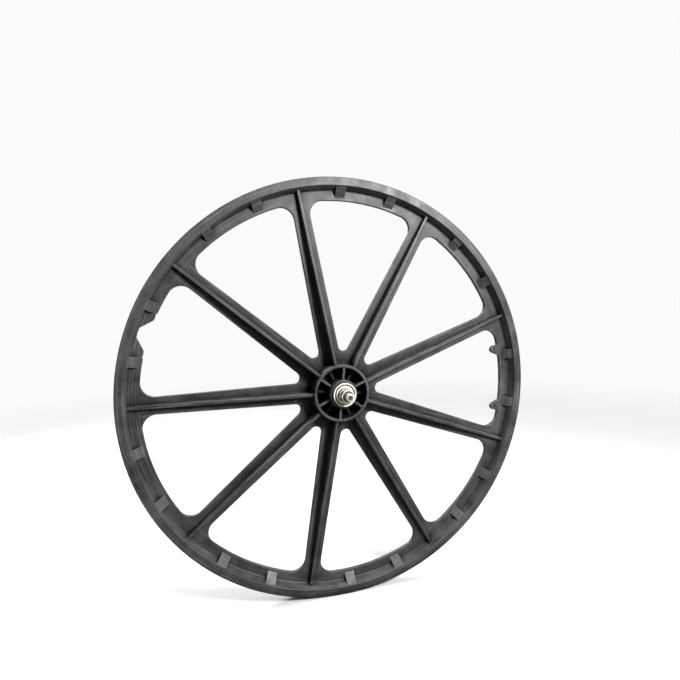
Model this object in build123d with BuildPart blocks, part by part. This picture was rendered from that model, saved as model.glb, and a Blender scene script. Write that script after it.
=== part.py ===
from build123d import *
import os
from math import asin, cos, degrees, radians, sin, sqrt

os.makedirs("parts", exist_ok=True)

# A nine-spoke moulded bicycle wheel on a cup-and-cone hub, with no tyre. Sizes are in millimetres.
# The origin is the wheel's centre. The axle lies along Y, the front face looks towards -Y, and +Z is up.
# A depth is a distance from the wheel's middle plane, which is a plane of symmetry of the hub and rim.
# Plane.XZ looks out of the front face, so its offsets and extrusions go towards the front.

# Length by which joined shapes run into one another, and cutting shapes run out past a surface.
overlap = 1.0

# Rim: a channel for a tyre of 507 mm bead seat diameter, with a flat web plate inside it.
rim_outer_r = 260.0
rim_half_width = 12.9
lip_half_width = 10.4
bead_seat_r = 253.5
seat_half_width = 9.6
seat_slope_r = 253.2
seat_slope_half_width = 7.4
well_r = 249.5
well_half_width = 4.8
flange_inner_r = 250.0
wall_foot_r = 245.0
web_half = 2.6
web_root_r = 240.0
web_edge_radius = 0.8
lip_edge_radius = 1.2
wall_edge_radius = 0.8
wall_foot_radius = 1.5

# Spokes: a flat web cut through by windows, each spoke narrower at the rim than at the hub.
# The two half widths are those at the hub end and at the rim end of a window's straight edges.
spoke_count = 9
spoke_pitch = 360 / spoke_count
spoke_phase = spoke_pitch / 2
spoke_hub_half = 12.8
spoke_rim_half = 9.85
window_rim_r = 233.2
window_hub_radius = 7.2
window_rim_radius = 16.0

# Spoke ribs: one along the middle of each face of a spoke, lower towards the rim.
rib_foot_half = 2.1
rib_draft = 1.0
rib_hub_depth = 20.2
rib_rim_depth = 7.6
rib_hub_r = 33.0
rib_rim_r = 249.0
rib_length = rib_rim_r - rib_hub_r
rib_edge_radius = 0.7

# Gussets: sloped blocks between the web and the flange, two to each window.
gusset_angle = 7.7
gusset_width = 12.0
gusset_toe_r = 236.0
gusset_toe_depth = 2.4
gusset_head_r = 249.6
gusset_head_depth = 11.5
gusset_back_r = 247.5
gusset_back_depth = 5.5

# Reflector ears: two drilled tabs on the rim side of the window that faces +X. Each has a round tip
# and a wider root that spreads towards the window's middle.
ear_hole_r = 2.0
ear_r = 4.7
ear_circle_r = 227.0
ear_spacing = 78.0
ear_angle = degrees(asin(ear_spacing / 2 / ear_circle_r))
ear_root_width = 15.0

# Valve opening: a notch in the web of one window, and a hole through the channel's floor.
valve_angle = 160.0
valve_hole_r = 4.25
notch_mouth_r = 232.8
notch_mouth_half = 18.5
notch_mouth_radius = 7.0
notch_floor_r = 245.4
notch_floor_half = 5.6
notch_floor_radius = 1.5
notch_margin = 8.0

# Moulded hub: an outer collar, a deep pocket crossed by ribs, and a central boss.
collar_r = 34.9
collar_root_r = 35.6
collar_skirt_r = 37.6
collar_depth = 23.6
pocket_r = 31.5
pocket_floor_depth = 4.0
boss_r = 17.0
boss_root_r = 18.0
boss_depth = 29.9
pocket_rib_count = 6
pocket_rib_width = 2.4
tall_rib_phase = 24.0
tall_rib_depth = 22.9
low_rib_phase = 54.0
low_rib_depth = 13.0
hub_edge_radius = 0.8

# Bearings: ten 3/16 inch balls a side, held in a retainer between a pressed cup and a cone.
ball_r = 4.7625 / 2
ball_count = 10
ball_circle_r = 9.3
ball_depth = 29.4
race_r = ball_r + 0.05
cup_bore_r = 13.0
cup_base_depth = 23.4
cup_throat_r = 8.0
cup_flange_r = 14.2
cup_front_depth = 33.9
cup_lip_r = 13.0
cup_lip_radius = 0.5
cup_dish_r = 11.73
cup_dish_depth = 32.3
sleeve_inner_r = 11.4

# Dust cap: a domed ring of sheet steel with a skirt, its outline given outside and inside.
cap_skirt_r = 11.71
cap_skirt_depth = 31.8
cap_shoulder_r = 10.7
cap_shoulder_depth = 33.6
cap_hole_r = 8.95
cap_front_depth = 34.2
cap_thickness = 0.7
cap_inner_shoulder_r = 10.4
cap_inner_turn_depth = 32.0

# Ball retainer: its section, from the edge between the balls to its front edge.
retainer_inner_r = 9.7
retainer_back_depth = 29.2
retainer_outer_r = 11.35
retainer_step_depth = 30.0
retainer_front_outer_r = 11.05
retainer_front_inner_r = 9.4
retainer_front_depth = 31.5
retainer_ball_gap = 0.06

# Axle set: a 3/8 inch solid axle with cones, plain washers and locknuts, 92 mm over the locknuts.
# The thread is plain cylinders: its mean radius between the locknuts, its full radius outside them.
axle_r = 4.76
axle_core_r = 4.45
axle_step_depth = 46.2
axle_half_length = 54.0
axle_chamfer = 0.8
thread_gap = 0.02
threaded_bore_r = axle_core_r + thread_gap
cone_nose_r = 6.3
cone_nose_depth = 27.3
cone_body_r = 8.5
cone_flat_depth = 35.1
cone_end_depth = 38.9
cone_flats = 15.0
washer_r = 8.1
washer_end_depth = 40.4
locknut_flats = 15.0
locknut_corner_r = 8.8
locknut_corner_depth = 44.7
locknut_crown_r = 8.1
locknut_crown_depth = 45.1
locknut_land_r = 7.2
locknut_face_depth = 46.0


def save(piece, name):
    """Write one finished piece to its own STEP file."""
    piece.label = name
    export_step(piece, f"parts/{name}.step")


def save_pair(front_piece, name):
    """Write a front piece and its mirror image at the rear."""
    rear_piece = mirror(front_piece, about=Plane.XZ)
    save(front_piece, f"{name}_front")
    save(rear_piece, f"{name}_rear")


def at(radius, depth):
    """A point of a front piece's outline, as a radius from the axle and a depth."""
    return (radius, -depth)


def is_full_circle(edge):
    """Whether an edge is a whole circle about the axle."""
    return edge.geom_type == GeomType.CIRCLE and edge.is_closed


# One window, on the local X axis: two spoke edges that meet near the hub, and an arc at the rim.
half_pitch = radians(spoke_pitch / 2)
window_apex_r = spoke_hub_half / sin(half_pitch)
window_corner_angle = half_pitch - asin(spoke_rim_half / window_rim_r)
window_corner_x = window_rim_r * cos(window_corner_angle)
window_corner_y = window_rim_r * sin(window_corner_angle)

with BuildSketch() as window:
    with BuildLine():
        Line((window_apex_r, 0), (window_corner_x, window_corner_y))
        RadiusArc((window_corner_x, window_corner_y), (window_corner_x, -window_corner_y), window_rim_r)
        Line((window_corner_x, -window_corner_y), (window_apex_r, 0))
    make_face()
    fillet(window.vertices().filter_by(lambda v: v.X < window_apex_r + overlap), window_hub_radius)
    fillet(window.vertices().filter_by(lambda v: v.X > window_corner_x - overlap), window_rim_radius)

# The valve notch, also on the local X axis.
with BuildSketch() as valve_notch:
    with BuildLine():
        Polyline(
            (notch_mouth_r - notch_margin, notch_mouth_half + notch_margin),
            (notch_mouth_r, notch_mouth_half + notch_margin),
            (notch_mouth_r, notch_mouth_half),
            (notch_floor_r, notch_floor_half),
            (notch_floor_r, -notch_floor_half),
            (notch_mouth_r, -notch_mouth_half),
            (notch_mouth_r, -notch_mouth_half - notch_margin),
            (notch_mouth_r - notch_margin, -notch_mouth_half - notch_margin),
            close=True,
        )
    make_face()
    fillet(
        valve_notch.vertices().filter_by(
            lambda v: abs(v.X - notch_mouth_r) < overlap and abs(v.Y) < notch_mouth_half + overlap
        ),
        notch_mouth_radius,
    )
    fillet(valve_notch.vertices().filter_by(lambda v: v.X > notch_floor_r - overlap), notch_floor_radius)

# The two reflector ears, one on each side of the local X axis.
with BuildSketch() as ears:
    with PolarLocations(0, 1, start_angle=ear_angle):
        with Locations((ear_circle_r, 0)):
            Circle(ear_r)
        with Locations((window_rim_r + overlap, ear_r - ear_root_width / 2)):
            Rectangle(overlap, ear_root_width)
    make_hull()
    mirror(about=Plane.XZ)

# The web plate with its nine windows and the two ears, its edges rounded on both faces.
with BuildPart() as web_plate:
    with BuildSketch(Plane.XZ):
        Circle(web_root_r + overlap)
        Circle(boss_r - overlap, mode=Mode.SUBTRACT)
        with PolarLocations(0, spoke_count):
            add(window.sketch, mode=Mode.SUBTRACT)
        add(ears.sketch)
    extrude(amount=web_half, both=True)
    fillet(
        web_plate.edges().filter_by(
            lambda e: abs(e.center().Y) > web_half - web_edge_radius and not is_full_circle(e)
        ),
        web_edge_radius,
    )

# One spoke's rib on the local X axis, on both faces of the web, drafted and lower towards the rim.
with BuildPart() as spoke_rib:
    with BuildSketch(Plane.XY):
        with Locations((rib_hub_r + rib_length / 2, 0)):
            Rectangle(rib_length, 2 * rib_foot_half)
    extrude(amount=rib_hub_depth + overlap, both=True, taper=rib_draft)
    with BuildSketch(Plane.XZ):
        with BuildLine():
            Polyline(
                (rib_hub_r - overlap, 0),
                (rib_hub_r - overlap, rib_hub_depth),
                (rib_rim_r + overlap, rib_rim_depth),
                (rib_rim_r + overlap, 0),
            )
            mirror(about=Plane.XZ)
        make_face()
    extrude(amount=2 * rib_foot_half, both=True, mode=Mode.INTERSECT)
    fillet(
        spoke_rib.edges().filter_by(
            lambda e: e.length > rib_length - overlap and abs(e.center().Z) > rib_rim_depth
        ),
        rib_edge_radius,
    )

# One gusset on the local X axis, passing through the web to the back face.
with BuildPart() as gusset:
    with BuildSketch(Plane.XZ):
        with BuildLine():
            Polyline(
                (gusset_toe_r, 0),
                (gusset_toe_r, gusset_toe_depth),
                (gusset_head_r, gusset_head_depth),
                (gusset_back_r, gusset_back_depth),
                (gusset_back_r, 0),
            )
            mirror(about=Plane.XZ)
        make_face()
    extrude(amount=gusset_width / 2, both=True)

# The wheel moulding: rim, web, ribs, gussets, ears and hub in one piece of black plastic.
with BuildPart() as wheel_moulding:
    with BuildSketch(Plane.XY) as rim_section:
        with BuildLine():
            Polyline(
                (web_root_r, 0),
                (web_root_r, web_half),
                (wall_foot_r, web_half),
                (flange_inner_r, rim_half_width),
                (rim_outer_r, rim_half_width),
                (rim_outer_r, lip_half_width),
                (bead_seat_r, seat_half_width),
                (seat_slope_r, seat_slope_half_width),
                (well_r, well_half_width),
                (well_r, 0),
            )
            mirror(about=Plane.XZ)
        make_face()
        fillet(
            rim_section.vertices().filter_by(lambda v: v.X > rim_outer_r - lip_edge_radius),
            lip_edge_radius,
        )
        fillet(
            rim_section.vertices().filter_by(
                lambda v: v.X < bead_seat_r and abs(v.Y) > rim_half_width - wall_edge_radius
            ),
            wall_edge_radius,
        )
        fillet(
            rim_section.vertices().filter_by(lambda v: web_root_r < v.X < wall_foot_r + overlap),
            wall_foot_radius,
        )
    revolve(axis=Axis.Y)

    add(web_plate.part)

    with Locations(Plane.XZ):
        with PolarLocations(0, spoke_count, start_angle=spoke_phase):
            add(spoke_rib.part)
        with PolarLocations(0, spoke_count, start_angle=gusset_angle):
            add(gusset.part)
        with PolarLocations(0, spoke_count, start_angle=-gusset_angle):
            add(gusset.part)

    with BuildSketch(Plane.XY) as hub_section:
        with BuildLine():
            Polyline(
                (cup_bore_r, 0),
                (cup_bore_r, boss_depth),
                (boss_r, boss_depth),
                (boss_root_r, pocket_floor_depth),
                (pocket_r, pocket_floor_depth),
                (pocket_r, collar_depth),
                (collar_r, collar_depth),
                (collar_root_r, web_half),
                (collar_skirt_r, web_half),
                (collar_skirt_r, 0),
            )
            mirror(about=Plane.XZ)
        make_face()
        fillet(
            hub_section.vertices().filter_by(
                lambda v: v.X > cup_bore_r + overlap and abs(v.Y) > collar_depth - overlap
            ),
            hub_edge_radius,
        )
    revolve(axis=Axis.Y)

    pocket_rib_length = pocket_r - boss_r + 2 * overlap
    pocket_rib_middle_r = (pocket_r + boss_r) / 2
    with BuildSketch(Plane.XZ):
        with PolarLocations(pocket_rib_middle_r, pocket_rib_count, start_angle=tall_rib_phase):
            Rectangle(pocket_rib_length, pocket_rib_width)
    extrude(amount=tall_rib_depth, both=True)
    with BuildSketch(Plane.XZ):
        with PolarLocations(pocket_rib_middle_r, pocket_rib_count, start_angle=low_rib_phase):
            Rectangle(pocket_rib_length, pocket_rib_width)
    extrude(amount=low_rib_depth, both=True)

    with BuildSketch(Plane.XZ):
        with PolarLocations(0, 1, start_angle=valve_angle):
            add(valve_notch.sketch)
        with PolarLocations(
            ear_circle_r, 2, start_angle=-ear_angle, angular_range=2 * ear_angle, endpoint=True
        ):
            Circle(ear_hole_r)
    extrude(amount=web_half + overlap, both=True, mode=Mode.SUBTRACT)

    valve_direction = Vector(cos(radians(valve_angle)), 0, sin(radians(valve_angle)))
    with BuildSketch(Plane(origin=valve_direction * notch_floor_r, z_dir=valve_direction)):
        Circle(valve_hole_r)
    extrude(amount=2 * (well_r - notch_floor_r), both=True, mode=Mode.SUBTRACT)

save(wheel_moulding.part, "wheel_moulding")

# Steel sleeve in the boss, which the two bearing cups stop against.
with BuildPart() as hub_sleeve:
    with BuildSketch(Plane.XZ):
        Circle(cup_bore_r)
        Circle(sleeve_inner_r, mode=Mode.SUBTRACT)
    extrude(amount=cup_base_depth, both=True)

save(hub_sleeve.part, "hub_sleeve")

# Pressed bearing cup: a raised lip, a dished mouth and a ball race at the back.
with BuildPart() as bearing_cup:
    with BuildSketch(Plane.XY) as cup_section:
        with BuildLine():
            Polyline(
                at(ball_circle_r, ball_depth - race_r),
                at(cup_throat_r, ball_depth - race_r),
                at(cup_throat_r, cup_base_depth),
                at(cup_bore_r, cup_base_depth),
                at(cup_bore_r, boss_depth),
                at(cup_flange_r, boss_depth),
                at(cup_flange_r, cup_front_depth),
                at(cup_lip_r, cup_front_depth),
                at(cup_dish_r, cup_dish_depth),
                at(ball_circle_r + race_r, ball_depth),
            )
            RadiusArc(
                at(ball_circle_r + race_r, ball_depth), at(ball_circle_r, ball_depth - race_r), -race_r
            )
        make_face()
        fillet(
            cup_section.vertices().filter_by(lambda v: v.Y < cup_lip_radius - cup_front_depth),
            cup_lip_radius,
        )
    revolve(axis=Axis.Y)

save_pair(bearing_cup.part, "bearing_cup")

# Domed dust cap pressed into the cup's mouth.
with BuildPart() as dust_cap:
    with BuildSketch(Plane.XY):
        with BuildLine():
            Polyline(
                at(cap_skirt_r, cap_skirt_depth),
                at(cap_skirt_r, cup_dish_depth),
                at(cap_shoulder_r, cap_shoulder_depth),
                at(cap_hole_r, cap_front_depth),
                at(cap_hole_r, cap_front_depth - cap_thickness),
                at(cap_inner_shoulder_r, cap_shoulder_depth - cap_thickness),
                at(cap_skirt_r - cap_thickness, cap_inner_turn_depth),
                at(cap_skirt_r - cap_thickness, cap_skirt_depth),
                close=True,
            )
        make_face()
    revolve(axis=Axis.Y)

save_pair(dust_cap.part, "dust_cap")

# Bearing balls, as a group of separate solids.
with BuildPart(Plane.XZ.offset(ball_depth)) as bearing_balls:
    with PolarLocations(ball_circle_r, ball_count):
        Sphere(ball_r)

save_pair(bearing_balls.part, "bearing_balls")

# Ball retainer: a ring around the outer front quarter of the balls, with a pocket for each.
with BuildPart(Plane.XZ.offset(ball_depth)) as ball_retainer:
    with BuildSketch(Plane.XY):
        with BuildLine():
            Polyline(
                at(retainer_inner_r, retainer_back_depth),
                at(retainer_outer_r, retainer_step_depth),
                at(retainer_front_outer_r, retainer_front_depth),
                at(retainer_front_inner_r, retainer_front_depth),
                close=True,
            )
        make_face()
    revolve(axis=Axis.Y)
    with PolarLocations(ball_circle_r, ball_count):
        Sphere(ball_r + retainer_ball_gap, mode=Mode.SUBTRACT)

save_pair(ball_retainer.part, "ball_retainer")

# Cone: the inner race, threaded on the axle, with two spanner flats at its outer end.
cone_race_end_depth = ball_depth + sqrt(race_r**2 - (ball_circle_r - cone_body_r) ** 2)
with BuildPart() as axle_cone:
    with BuildSketch(Plane.XY):
        with BuildLine():
            Polyline(
                at(cone_body_r, cone_race_end_depth),
                at(cone_body_r, cone_end_depth),
                at(threaded_bore_r, cone_end_depth),
                at(threaded_bore_r, cone_nose_depth),
                at(cone_nose_r, cone_nose_depth),
                at(ball_circle_r - race_r, ball_depth),
            )
            RadiusArc(
                at(ball_circle_r - race_r, ball_depth), at(cone_body_r, cone_race_end_depth), -race_r
            )
        make_face()
    revolve(axis=Axis.Y)
    with BuildSketch(Plane.XZ.offset(cone_flat_depth)):
        Circle(cone_body_r + overlap)
        Rectangle(2 * cone_body_r + 4 * overlap, cone_flats, mode=Mode.SUBTRACT)
    extrude(amount=cone_end_depth - cone_flat_depth, mode=Mode.SUBTRACT)

save_pair(axle_cone.part, "axle_cone")

# Washer between the cone and the locknut.
with BuildPart() as lock_washer:
    with BuildSketch(Plane.XZ.offset(cone_end_depth)):
        Circle(washer_r)
        Circle(threaded_bore_r, mode=Mode.SUBTRACT)
    extrude(amount=washer_end_depth - cone_end_depth)

save_pair(lock_washer.part, "lock_washer")

# Hexagon locknut, chamfered on its outer face.
with BuildPart() as axle_locknut:
    with BuildSketch(Plane.XZ.offset(washer_end_depth)):
        RegularPolygon(radius=locknut_flats / 2, side_count=6, major_radius=False)
        Circle(threaded_bore_r, mode=Mode.SUBTRACT)
    extrude(amount=locknut_face_depth - washer_end_depth)
    with BuildSketch(Plane.XY):
        with BuildLine():
            Polyline(
                at(0, washer_end_depth),
                at(locknut_corner_r, washer_end_depth),
                at(locknut_corner_r, locknut_corner_depth),
                at(locknut_crown_r, locknut_crown_depth),
                at(locknut_land_r, locknut_face_depth),
                at(0, locknut_face_depth),
                close=True,
            )
        make_face()
    revolve(axis=Axis.Y, mode=Mode.INTERSECT)

save_pair(axle_locknut.part, "axle_locknut")

# Solid axle, with its full thread radius on the two bare ends.
with BuildPart() as axle:
    with BuildSketch(Plane.XY) as axle_section:
        with BuildLine():
            Polyline(
                (axle_core_r, 0),
                (axle_core_r, axle_step_depth),
                (axle_r, axle_step_depth),
                (axle_r, axle_half_length),
                (0, axle_half_length),
                (0, 0),
            )
            mirror(about=Plane.XZ)
        make_face()
        chamfer(
            axle_section.vertices().filter_by(
                lambda v: v.X > axle_core_r and abs(v.Y) > axle_half_length - axle_chamfer
            ),
            axle_chamfer,
        )
    revolve(axis=Axis.Y)

save(axle.part, "axle")
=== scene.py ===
from math import cos, pi, radians, sin

import bpy
import numpy as np
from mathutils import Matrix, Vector


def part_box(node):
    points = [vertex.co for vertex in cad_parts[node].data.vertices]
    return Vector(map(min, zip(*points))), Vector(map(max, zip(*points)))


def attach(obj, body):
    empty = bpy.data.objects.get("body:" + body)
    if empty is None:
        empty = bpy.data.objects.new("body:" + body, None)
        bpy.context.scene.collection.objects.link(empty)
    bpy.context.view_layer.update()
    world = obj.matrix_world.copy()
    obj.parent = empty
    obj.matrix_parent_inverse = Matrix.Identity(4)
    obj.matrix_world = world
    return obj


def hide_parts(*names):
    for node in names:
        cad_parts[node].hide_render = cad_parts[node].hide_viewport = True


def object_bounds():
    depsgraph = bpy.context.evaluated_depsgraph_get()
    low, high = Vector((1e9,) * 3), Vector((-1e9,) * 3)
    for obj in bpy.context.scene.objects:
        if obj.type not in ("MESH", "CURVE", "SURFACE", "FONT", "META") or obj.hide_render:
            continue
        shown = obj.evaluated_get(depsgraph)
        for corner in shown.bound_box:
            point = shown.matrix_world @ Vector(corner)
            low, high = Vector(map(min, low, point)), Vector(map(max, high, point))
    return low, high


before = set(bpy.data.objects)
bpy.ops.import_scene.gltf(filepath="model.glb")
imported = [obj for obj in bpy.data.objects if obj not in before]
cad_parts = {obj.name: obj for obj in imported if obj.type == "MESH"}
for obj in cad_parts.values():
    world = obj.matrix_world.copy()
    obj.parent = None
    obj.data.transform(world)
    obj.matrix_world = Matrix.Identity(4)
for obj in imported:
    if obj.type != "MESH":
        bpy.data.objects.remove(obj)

# A moulded black plastic bicycle wheel on a steel cup-and-cone hub, standing on a pale floor.
# The axle lies along Y, the front face looks towards -Y, and lengths are in metres.

cad_low, cad_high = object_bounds()
MM = 0.001

# Camera: in front of the wheel, a little to the left and above.
CAMERA_PLACE = (-0.2103, -0.6839, 0.1279)
CAMERA_TURN_DEG = (84.839, 1.529, -17.700)
CAMERA_LENS_MM = 30.64
CAMERA_SENSOR_MM = 36.0

# Threads of the solid axle, 3/8 inch and 26 to the inch, and its two ends. Each end has a dimple
# at its centre, whose mouth is a share of the axle's radius, and painted shade out to a dark radius.
THREAD_PITCH = 25.4 / 26 * MM
THREAD_DEPTH = 0.5 * MM
THREAD_START = 24 * MM
THREAD_ROWS_PER_PITCH = 8
THREAD_SEGMENTS = 56
AXLE_END_CHAMFER = 0.9 * MM
AXLE_END_DIMPLE = 1.3 * MM
DIMPLE_MOUTH_SHARE = 0.45
PAINTED_SHADE_CENTRE_RADIUS = 3.4 * MM

# Painted highlights on the lips of the hub's steel parts, as (radius, depth, half width of the mark).
CUP_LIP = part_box("bearing_cup_rear")[1]
CAP_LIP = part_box("dust_cap_rear")[1]
CONE_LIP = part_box("axle_cone_rear")[1]
NUT_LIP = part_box("axle_locknut_rear")[1]
AXLE_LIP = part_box("axle")[1]
PAINTED_HIGHLIGHT_LIPS = (
    (CUP_LIP.x - 0.6 * MM, CUP_LIP.y, 1.1 * MM),
    (CAP_LIP.x - 1.6 * MM, CAP_LIP.y, 0.9 * MM),
    (CONE_LIP.x, CONE_LIP.y, 0.7 * MM),
    (NUT_LIP.z, NUT_LIP.y, 0.8 * MM),
    (AXLE_LIP.x - 0.7 * MM, AXLE_LIP.y, 0.7 * MM),
)

# Light: what the camera sees around the object, and how bright the room is below and above it.
SURROUND = (0.96, 0.96, 0.955)
AMBIENT_LOW = 0.05
AMBIENT_HIGH = 0.45


class Graph:
    """A node material under construction."""

    def __init__(self, name):
        self.material = bpy.data.materials.new(name)
        self.material.use_nodes = True
        self.tree = self.material.node_tree
        self.tree.nodes.clear()
        self.place = self.node("ShaderNodeTexCoord").outputs["Object"]

    def node(self, kind, inputs=None, **settings):
        """Adds a node. Its settings come first, because they decide which inputs it has."""
        made = self.tree.nodes.new(kind)
        for key, value in settings.items():
            setattr(made, key, value)
        for key, value in (inputs or {}).items():
            self.feed(made.inputs[key], value)
        return made

    def feed(self, socket, value):
        """Links an output to a socket, or sets the socket's own value."""
        if isinstance(value, bpy.types.NodeSocket):
            self.tree.links.new(value, socket)
        else:
            socket.default_value = value

    def math(self, operation, a, b=0.0, clamp=False):
        return self.node("ShaderNodeMath", {0: a, 1: b}, operation=operation, use_clamp=clamp).outputs[0]

    def around_axle(self, turn_scale, radius_scale):
        """Coordinates that run around the axle and out from it, and the radius from the axle."""
        split = self.node("ShaderNodeSeparateXYZ", {"Vector": self.place})
        flat_parts = {"X": split.outputs["X"], "Z": split.outputs["Z"]}
        flat = self.node("ShaderNodeCombineXYZ", flat_parts).outputs[0]
        radius = self.node("ShaderNodeVectorMath", {0: flat}, operation="LENGTH").outputs["Value"]
        turned = self.node("ShaderNodeVectorMath", {0: flat}, operation="NORMALIZE").outputs[0]
        turned = self.node("ShaderNodeVectorMath", {0: turned, "Scale": turn_scale}, operation="SCALE")
        out = self.node("ShaderNodeCombineXYZ", {"Y": self.math("MULTIPLY", radius, radius_scale)})
        both = {0: turned.outputs[0], 1: out.outputs[0]}
        return self.node("ShaderNodeVectorMath", both, operation="ADD").outputs[0], radius

    def noise(self, scale, detail=4.0, roughness=0.5, distortion=0.0, place=None):
        """Noise from 0 to 1, with features about 1/scale metres across."""
        inputs = {
            "Vector": place or self.place,
            "Scale": scale,
            "Detail": detail,
            "Roughness": roughness,
            "Distortion": distortion,
        }
        return self.node("ShaderNodeTexNoise", inputs).outputs["Fac"]

    def stretched(self, scale, turn=(0, 0, 0)):
        """Coordinates scaled and turned, for marks that run one way."""
        inputs = {"Vector": self.place, "Scale": scale, "Rotation": [radians(t) for t in turn]}
        return self.node("ShaderNodeMapping", inputs).outputs["Vector"]

    def between(self, value, low, high, out_low=0.0, out_high=1.0):
        """A smooth step of value between low and high."""
        inputs = {
            "Value": value,
            "From Min": low,
            "From Max": high,
            "To Min": out_low,
            "To Max": out_high,
        }
        made = self.node("ShaderNodeMapRange", inputs, interpolation_type="SMOOTHSTEP")
        return made.outputs["Result"]

    def blend(self, share, a, b):
        """Colour a where share is 0, and colour b where it is 1."""
        made = self.node("ShaderNodeMix", data_type="RGBA")
        self.feed(made.inputs["Factor"], share)
        for name, value in (("A", a), ("B", b)):
            socket = [s for s in made.inputs if s.name == name and s.type == "RGBA"][0]
            self.feed(socket, value if isinstance(value, bpy.types.NodeSocket) else (*value, 1.0))
        return [s for s in made.outputs if s.type == "RGBA"][0]

    def edges(self, radius):
        """1 along convex and concave edges, and 0 on flat faces."""
        normal = self.node("ShaderNodeNewGeometry").outputs["Normal"]
        soft = self.node("ShaderNodeBevel", {"Radius": radius}, samples=6).outputs["Normal"]
        likeness = self.node("ShaderNodeVectorMath", {0: normal, 1: soft}, operation="DOT_PRODUCT")
        return self.math("SUBTRACT", 1.0, likeness.outputs["Value"])

    def hollow(self, distance):
        """1 deep in a recess, and 0 on an open face."""
        open_share = self.node("ShaderNodeAmbientOcclusion", {"Distance": distance}, samples=6)
        return self.math("SUBTRACT", 1.0, open_share.outputs["AO"])

    def bump(self, height, distance, strength=1.0, normal=None):
        inputs = {"Height": height, "Distance": distance, "Strength": strength}
        if normal is not None:
            inputs["Normal"] = normal
        return self.node("ShaderNodeBump", inputs).outputs["Normal"]

    def finish(self, **inputs):
        """Adds the surface shader and returns the material."""
        names = {key: key.replace("_", " ").title() for key in inputs}
        names.update({"ior": "IOR", "specular_ior_level": "Specular IOR Level"})
        shader = self.node("ShaderNodeBsdfPrincipled", {names[k]: v for k, v in inputs.items()})
        self.node("ShaderNodeOutputMaterial", {"Surface": shader.outputs["BSDF"]})
        return self.material


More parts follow.
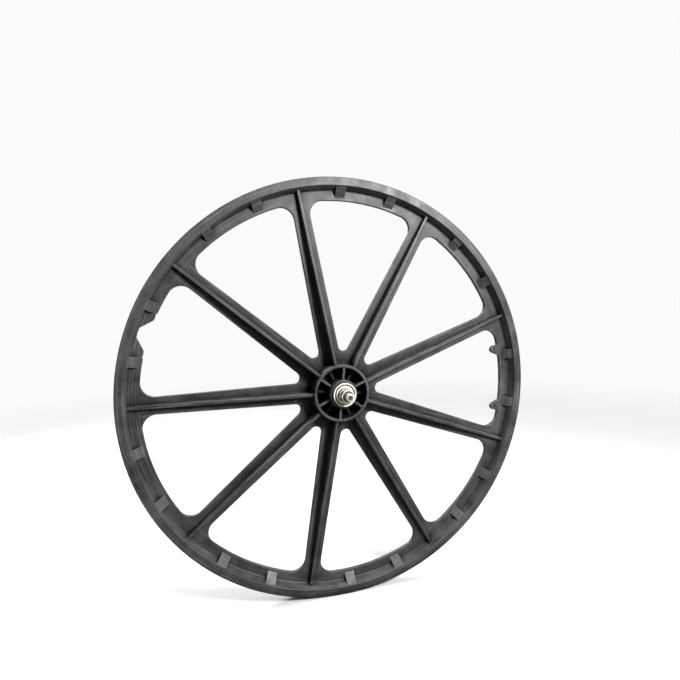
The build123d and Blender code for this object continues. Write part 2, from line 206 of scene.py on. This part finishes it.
def black_plastic():
    """Moulded black nylon: near black, satin, with dust, scuffs, scratches, paler worn edges and painted
    shade in deep corners.
    """
    g = Graph("black_plastic")
    cloud = g.between(g.noise(18, 7, 0.68), 0.38, 0.66)
    tint = g.between(g.noise(38, 3, 0.6), 0.4, 0.65)
    colour = g.blend(cloud, (0.007, 0.0075, 0.0085), (0.030, 0.031, 0.033))
    colour = g.blend(g.math("MULTIPLY", tint, 0.35), colour, (0.028, 0.032, 0.026))

    # scuffs that run along the spokes, and rings of them on the rim
    along, radius = g.around_axle(48, 9)
    rings, _ = g.around_axle(2.5, 420)
    on_rim = g.between(radius, 0.228, 0.236)
    spoke_scuff = g.between(g.noise(1.0, 6, 0.68, place=along), 0.46, 0.70)
    rim_scuff = g.between(g.noise(1.0, 5, 0.66, place=rings), 0.46, 0.72)
    spoke_scuff = g.math("MULTIPLY", spoke_scuff, g.math("SUBTRACT", 1.0, on_rim))
    scuff = g.math("ADD", spoke_scuff, g.math("MULTIPLY", rim_scuff, on_rim), clamp=True)
    scuff = g.math("MULTIPLY", scuff, g.between(g.noise(11, 4, 0.6), 0.28, 0.52))
    colour = g.blend(g.math("MULTIPLY", scuff, 0.8), colour, (0.104, 0.106, 0.110))

    # rub marks: soft pale patches where the wheel was handled and leaned on things
    pale_marks = g.between(g.noise(70, 8, 0.72, 0.4), 0.52, 0.74)
    pale_marks = g.math("MULTIPLY", pale_marks, g.between(g.noise(9, 3), 0.42, 0.62))
    colour = g.blend(g.math("MULTIPLY", pale_marks, 0.55), colour, (0.080, 0.079, 0.077))

    # fine scratches in two directions
    scratches = None
    for turn, scale in (((0, 24, 0), (900, 40, 22)), ((0, -52, 0), (760, 40, 26))):
        lines = g.noise(1.0, 2, 0.5, place=g.stretched(scale, turn))
        marks = g.between(lines, 0.655, 0.70)
        scratches = marks if scratches is None else g.math("MAXIMUM", scratches, marks)
    scratches = g.math("MULTIPLY", scratches, g.between(g.noise(20, 3), 0.50, 0.62))
    colour = g.blend(g.math("MULTIPLY", scratches, 0.45), colour, (0.13, 0.13, 0.13))

    # dust lies on what faces up, and thins out in patches
    normal = g.node("ShaderNodeTexCoord").outputs["Normal"]
    upward = g.node("ShaderNodeSeparateXYZ", {"Vector": normal}).outputs["Z"]
    dust = g.math("MULTIPLY", g.between(upward, 0.1, 0.95), g.between(g.noise(55, 6, 0.65), 0.3, 0.62))
    film = g.math("MULTIPLY", g.between(g.noise(24, 7, 0.7), 0.42, 0.70), 0.24)
    dust = g.math("MAXIMUM", g.math("MULTIPLY", dust, 0.40), film)
    colour = g.blend(dust, colour, (0.138, 0.141, 0.146))

    # worn edges
    worn = g.between(g.edges(0.9 * MM), 0.02, 0.16)
    worn = g.math("MULTIPLY", worn, g.between(g.noise(160, 5, 0.7), 0.25, 0.55))
    colour = g.blend(g.math("MULTIPLY", worn, 0.9), colour, (0.230, 0.230, 0.228))

    # painted shade: deep corners and recesses are painted near black
    corner = g.between(g.hollow(20 * MM), 0.18, 0.52)
    colour = g.blend(g.math("MULTIPLY", corner, 0.88), colour, (0.003, 0.003, 0.003))

    # a few specks of white wall paint
    cells = g.node("ShaderNodeTexVoronoi", {"Vector": g.place, "Scale": 75.0, "Randomness": 1.0})
    chosen = g.node("ShaderNodeSeparateColor", {"Color": cells.outputs["Color"]}).outputs["Red"]
    speck = g.math("MULTIPLY", g.math("GREATER_THAN", chosen, 0.988),
                   g.math("LESS_THAN", cells.outputs["Distance"], 0.065))
    colour = g.blend(speck, colour, (0.55, 0.54, 0.52))

    roughness = g.between(g.noise(45, 6, 0.65), 0.3, 0.7, 0.38, 0.54)
    roughness = g.math("ADD", roughness, g.math("MULTIPLY", dust, 0.4), clamp=True)
    roughness = g.math("ADD", roughness, g.math("MULTIPLY", scuff, 0.08), clamp=True)
    roughness = g.math("SUBTRACT", roughness, g.math("MULTIPLY", pale_marks, 0.06), clamp=True)
    grain = g.bump(g.noise(2600, 3, 0.6), 0.02 * MM, 0.45)
    grain = g.bump(g.noise(120, 4, 0.5), 0.25 * MM, 0.35, grain)
    grain = g.bump(scratches, -0.03 * MM, 0.5, grain)
    grain = g.bump(speck, 0.15 * MM, 0.6, grain)
    # the painted corner shade also takes sheen off the corners
    shine = g.math("SUBTRACT", 0.5, g.math("MULTIPLY", corner, 0.35))
    return g.finish(base_color=colour, roughness=roughness, normal=grain, specular_ior_level=shine)


def plated_steel(name, dark, light, rough_low, rough_high, grease_shade_share):
    """Turned and plated steel: turning rings, uneven plating, pale edges that are part wear and part
    painted highlight, painted highlights on the lips, and grease with painted shade in recesses and
    round the axis.
    """
    g = Graph(name)
    split = g.node("ShaderNodeSeparateXYZ", {"Vector": g.place})
    across = g.node("ShaderNodeCombineXYZ", {"X": split.outputs["X"], "Z": split.outputs["Z"]})
    radius = g.node("ShaderNodeVectorMath", {0: across.outputs[0]}, operation="LENGTH").outputs["Value"]
    ring_place = g.node("ShaderNodeCombineXYZ", {"X": radius, "Y": split.outputs["Y"]}).outputs[0]
    rings = g.noise(5200, 2, 0.6, place=ring_place)

    colour = g.blend(g.between(g.noise(420, 5, 0.6), 0.35, 0.66), dark, light)
    dull = g.between(g.noise(900, 6, 0.7), 0.52, 0.70)
    colour = g.blend(g.math("MULTIPLY", dull, 0.45), colour, tuple(0.55 * c for c in dark))
    # painted shade: recesses are darkened towards a grease brown, mixed with grease
    grease_and_painted_shade = g.math("MULTIPLY", g.hollow(5 * MM), g.between(g.noise(700, 5, 0.65), 0.15, 0.5))
    grease_and_painted_shade = g.between(grease_and_painted_shade, 0.12, 0.50, 0.0, grease_shade_share)
    # painted shade round the axis, darkest at the centre of the axle's ends
    painted_shade_centre = g.between(radius, PAINTED_SHADE_CENTRE_RADIUS, 0.75 * PAINTED_SHADE_CENTRE_RADIUS, 0.0, 0.9)
    grease_and_painted_shade = g.math("MAXIMUM", grease_and_painted_shade, painted_shade_centre)
    colour = g.blend(grease_and_painted_shade, colour, (0.030, 0.022, 0.014))

    # the plating is painted pale and dull along edges, part wear and part painted highlight, and painted
    # highlights go on the lips
    pale_marks = g.between(g.edges(0.7 * MM), 0.015, 0.12)
    depth = g.math("ABSOLUTE", split.outputs["Y"])
    for lip_radius, lip_depth, width in PAINTED_HIGHLIGHT_LIPS:
        off = g.math("ABSOLUTE", g.math("SUBTRACT", radius, lip_radius))
        behind = g.math("ABSOLUTE", g.math("SUBTRACT", depth, lip_depth))
        lip_highlight = g.between(g.math("MAXIMUM", off, behind), width, 0.7 * width)
        pale_marks = g.math("MAXIMUM", pale_marks, lip_highlight)
    pale_marks = g.math("MULTIPLY", pale_marks, g.between(g.noise(500, 4, 0.6), 0.10, 0.40))
    colour = g.blend(pale_marks, colour, (0.92, 0.88, 0.79))

    roughness = g.between(g.noise(650, 5, 0.65), 0.3, 0.7, rough_low, rough_high)
    roughness = g.math("ADD", roughness, g.math("MULTIPLY", grease_and_painted_shade, 0.4), clamp=True)
    roughness = g.math("ADD", roughness, g.math("MULTIPLY", pale_marks, 0.2), clamp=True)
    metallic = g.math("SUBTRACT", 1.0, grease_and_painted_shade)
    metallic = g.math("SUBTRACT", metallic, g.math("MULTIPLY", pale_marks, 0.75), clamp=True)
    normal = g.bump(rings, 0.012 * MM, 0.5)
    normal = g.bump(g.noise(1500, 4, 0.6), 0.02 * MM, 0.4, normal)
    return g.finish(base_color=colour, metallic=metallic, roughness=roughness, normal=normal)


def ball_steel():
    """Polished bearing balls with a smear of grease."""
    g = Graph("ball_steel")
    smear = g.between(g.noise(500, 4, 0.6), 0.45, 0.7)
    colour = g.blend(g.math("MULTIPLY", smear, 0.5), (0.72, 0.72, 0.73), (0.20, 0.15, 0.08))
    roughness = g.between(smear, 0.0, 1.0, 0.08, 0.35)
    return g.finish(base_color=colour, metallic=1.0, roughness=roughness)


def dress(names, material):
    """Gives CAD nodes one material in place of their packed ones."""
    for name in names:
        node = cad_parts[name]
        node.data.materials.clear()
        node.data.materials.append(material)


def pair(name):
    return [f"{name}_front", f"{name}_rear"]


def soften(name, width, angle_deg=30):
    """Rounds a CAD node's sharp edges a little."""
    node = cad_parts[name]
    weld = node.modifiers.new("weld", "WELD")
    weld.merge_threshold = 0.001 * MM
    bevel = node.modifiers.new("round", "BEVEL")
    bevel.width = width
    bevel.segments = 2
    bevel.limit_method = "ANGLE"
    bevel.angle_limit = radians(angle_deg)
    bevel.use_clamp_overlap = True
    bevel.harden_normals = True


def mesh_piece(name, points, faces, material, smooth=True):
    mesh = bpy.data.meshes.new(name)
    mesh.from_pydata(points, [], faces)
    mesh.validate()
    mesh.update()
    mesh.materials.append(material)
    if smooth:
        mesh.shade_smooth()
    piece = bpy.data.objects.new(name, mesh)
    bpy.context.scene.collection.objects.link(piece)
    return piece


def axle_profile(radius, half_length):
    """Stations along the axle from its rear end to its front end, as (y, outer radius, threaded)."""
    step = THREAD_PITCH / THREAD_ROWS_PER_PITCH
    rows = int((half_length - THREAD_START) / step)
    ys = [half_length - i * (half_length - THREAD_START) / rows for i in range(rows + 1)]
    side = []
    for y in ys:
        end_limit = radius - AXLE_END_CHAMFER + (half_length - y)
        side.append((y, min(radius, end_limit), min(1.0, (y - THREAD_START) / (2 * THREAD_PITCH))))
    return side + [(-y, r, t) for y, r, t in reversed(side)]


def threaded_axle(material):
    """The solid axle with its helical threads, a plain middle and a centre dimple in each end."""
    low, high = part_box("axle")
    radius, half_length = high.x, high.y
    stations = axle_profile(radius, half_length)
    points = []
    for y, outer, threaded in stations:
        for k in range(THREAD_SEGMENTS):
            turn = k / THREAD_SEGMENTS
            phase = (y / THREAD_PITCH - turn) % 1.0
            ridge = min(1.0, 1.35 * abs(2 * phase - 1))
            cut = THREAD_DEPTH * threaded * (1 - ridge)
            r = min(outer, radius - cut)
            points.append((r * cos(2 * pi * turn), y, r * sin(2 * pi * turn)))
    faces = []
    n = THREAD_SEGMENTS
    for i in range(len(stations) - 1):
        for k in range(n):
            a, b = i * n + k, i * n + (k + 1) % n
            faces.append((a, b, b + n, a + n))
    for first, y_sign in ((0, 1), ((len(stations) - 1) * n, -1)):
        rim = [first + k for k in range(n)]
        for share, depth in ((DIMPLE_MOUTH_SHARE, 0.0), (0.0, AXLE_END_DIMPLE)):
            y = y_sign * (half_length - depth)
            if share == 0.0:
                points.append((0.0, y, 0.0))
                tip = len(points) - 1
                ring = [tip] * n
            else:
                start = len(points)
                for k in range(n):
                    angle = 2 * pi * k / n
                    r = share * radius
                    points.append((r * cos(angle), y, r * sin(angle)))
                ring = list(range(start, start + n))
            for k in range(n):
                quad = [rim[k], rim[(k + 1) % n], ring[(k + 1) % n], ring[k]]
                quad = list(dict.fromkeys(quad))
                faces.append(tuple(reversed(quad)) if y_sign > 0 else tuple(quad))
            rim = ring
    piece = mesh_piece("threaded_axle", points, faces, material)
    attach(piece, "axle_set")
    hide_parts("axle")
    return piece


def area_light(name, place, target, size, power, colour):
    data = bpy.data.lights.new(name, "AREA")
    data.shape = "DISK"
    data.size = size
    data.energy = power
    data.color = colour
    light = bpy.data.objects.new(name, data)
    light.location = place
    light.rotation_mode = "QUATERNION"
    light.rotation_quaternion = (Vector(target) - Vector(place)).to_track_quat("-Z", "Y")
    bpy.context.scene.collection.objects.link(light)


def studio():
    """A pale floor and surround, with one main light from the front right and two weaker ones."""
    scene = bpy.context.scene
    scene.view_settings.view_transform = "Standard"
    world = bpy.data.worlds.new("surround")
    world.use_nodes = True
    tree = world.node_tree
    shown = tree.nodes["Background"]
    shown.inputs["Color"].default_value = (*SURROUND, 1.0)
    lit = tree.nodes.new("ShaderNodeBackground")
    lit.inputs["Color"].default_value = (*SURROUND, 1.0)
    toward = tree.nodes.new("ShaderNodeTexCoord")
    parts = tree.nodes.new("ShaderNodeSeparateXYZ")
    height = tree.nodes.new("ShaderNodeMapRange")
    height.interpolation_type = "SMOOTHSTEP"
    height.inputs["From Min"].default_value = -0.1
    height.inputs["From Max"].default_value = 0.8
    height.inputs["To Min"].default_value = AMBIENT_LOW
    height.inputs["To Max"].default_value = AMBIENT_HIGH
    tree.links.new(toward.outputs["Generated"], parts.inputs[0])
    tree.links.new(parts.outputs["Z"], height.inputs["Value"])
    tree.links.new(height.outputs["Result"], lit.inputs["Strength"])
    path = tree.nodes.new("ShaderNodeLightPath")
    mix = tree.nodes.new("ShaderNodeMixShader")
    tree.links.new(path.outputs["Is Camera Ray"], mix.inputs[0])
    tree.links.new(lit.outputs[0], mix.inputs[1])
    tree.links.new(shown.outputs[0], mix.inputs[2])
    tree.links.new(mix.outputs[0], tree.nodes["World Output"].inputs["Surface"])
    scene.world = world

    floor_z = cad_low.z
    segments, reach = 96, 4.0
    points = [(reach * cos(2 * pi * k / segments), reach * sin(2 * pi * k / segments), floor_z)
              for k in range(segments)]
    g = Graph("floor")
    split = g.node("ShaderNodeSeparateXYZ", {"Vector": g.place})
    flat = g.node("ShaderNodeCombineXYZ", {"X": split.outputs["X"], "Y": split.outputs["Y"]})
    away = g.node("ShaderNodeVectorMath", {0: flat.outputs[0]}, operation="LENGTH").outputs["Value"]
    tone = g.blend(g.noise(6, 4), (0.80, 0.80, 0.79), (0.84, 0.84, 0.83))
    seen = g.node("ShaderNodeLightPath").outputs["Is Camera Ray"]
    tone = g.blend(seen, (0.22, 0.22, 0.215), tone)
    near = g.node("ShaderNodeBsdfPrincipled", {"Base Color": tone, "Roughness": 0.75})
    far = g.node("ShaderNodeBsdfTransparent")
    share = g.between(away, 0.5, 1.8)
    mixed = g.node("ShaderNodeMixShader", {0: share, 1: near.outputs[0], 2: far.outputs[0]})
    g.node("ShaderNodeOutputMaterial", {"Surface": mixed.outputs[0]})
    floor = mesh_piece("floor", points, [tuple(range(segments))], g.material, smooth=False)

    area_light("key", (0.50, -0.95, 0.55), (0, 0, 0.05), 0.30, 25, (1.0, 0.99, 0.975))
    area_light("top", (0.20, -0.15, 1.30), (0, 0, 0.1), 0.5, 9, (1.0, 0.99, 0.97))
    area_light("back", (-0.5, 0.9, 0.8), (0, 0, 0), 0.6, 18, (0.98, 0.99, 1.0))


def camera():
    data = bpy.data.cameras.new("camera")
    data.lens = CAMERA_LENS_MM
    data.sensor_width = CAMERA_SENSOR_MM
    data.clip_start = 0.01
    made = bpy.data.objects.new("camera", data)
    made.location = CAMERA_PLACE
    made.rotation_euler = [radians(t) for t in CAMERA_TURN_DEG]
    bpy.context.scene.collection.objects.link(made)
    bpy.context.scene.camera = made


zinc = plated_steel("zinc_steel", (0.10, 0.085, 0.06), (0.34, 0.31, 0.25), 0.20, 0.34, 0.97)
plain = plated_steel("plain_steel", (0.30, 0.29, 0.27), (0.44, 0.43, 0.41), 0.28, 0.45, 0.9)
threaded = plated_steel("axle_steel", (0.14, 0.13, 0.11), (0.42, 0.40, 0.36), 0.26, 0.42, 0.95)

dress(["wheel_moulding"], black_plastic())
dress(["hub_sleeve", *pair("ball_retainer")], plain)
dress(pair("bearing_balls"), ball_steel())
dress([*pair("bearing_cup"), *pair("dust_cap"), *pair("axle_cone")], zinc)
dress([*pair("lock_washer"), *pair("axle_locknut")], zinc)
dress(["axle"], threaded)
for part_name, width in (("axle_locknut", 0.25), ("lock_washer", 0.2), ("axle_cone", 0.2)):
    for node_name in pair(part_name):
        soften(node_name, width * MM)
threaded_axle(threaded)

studio()
camera()
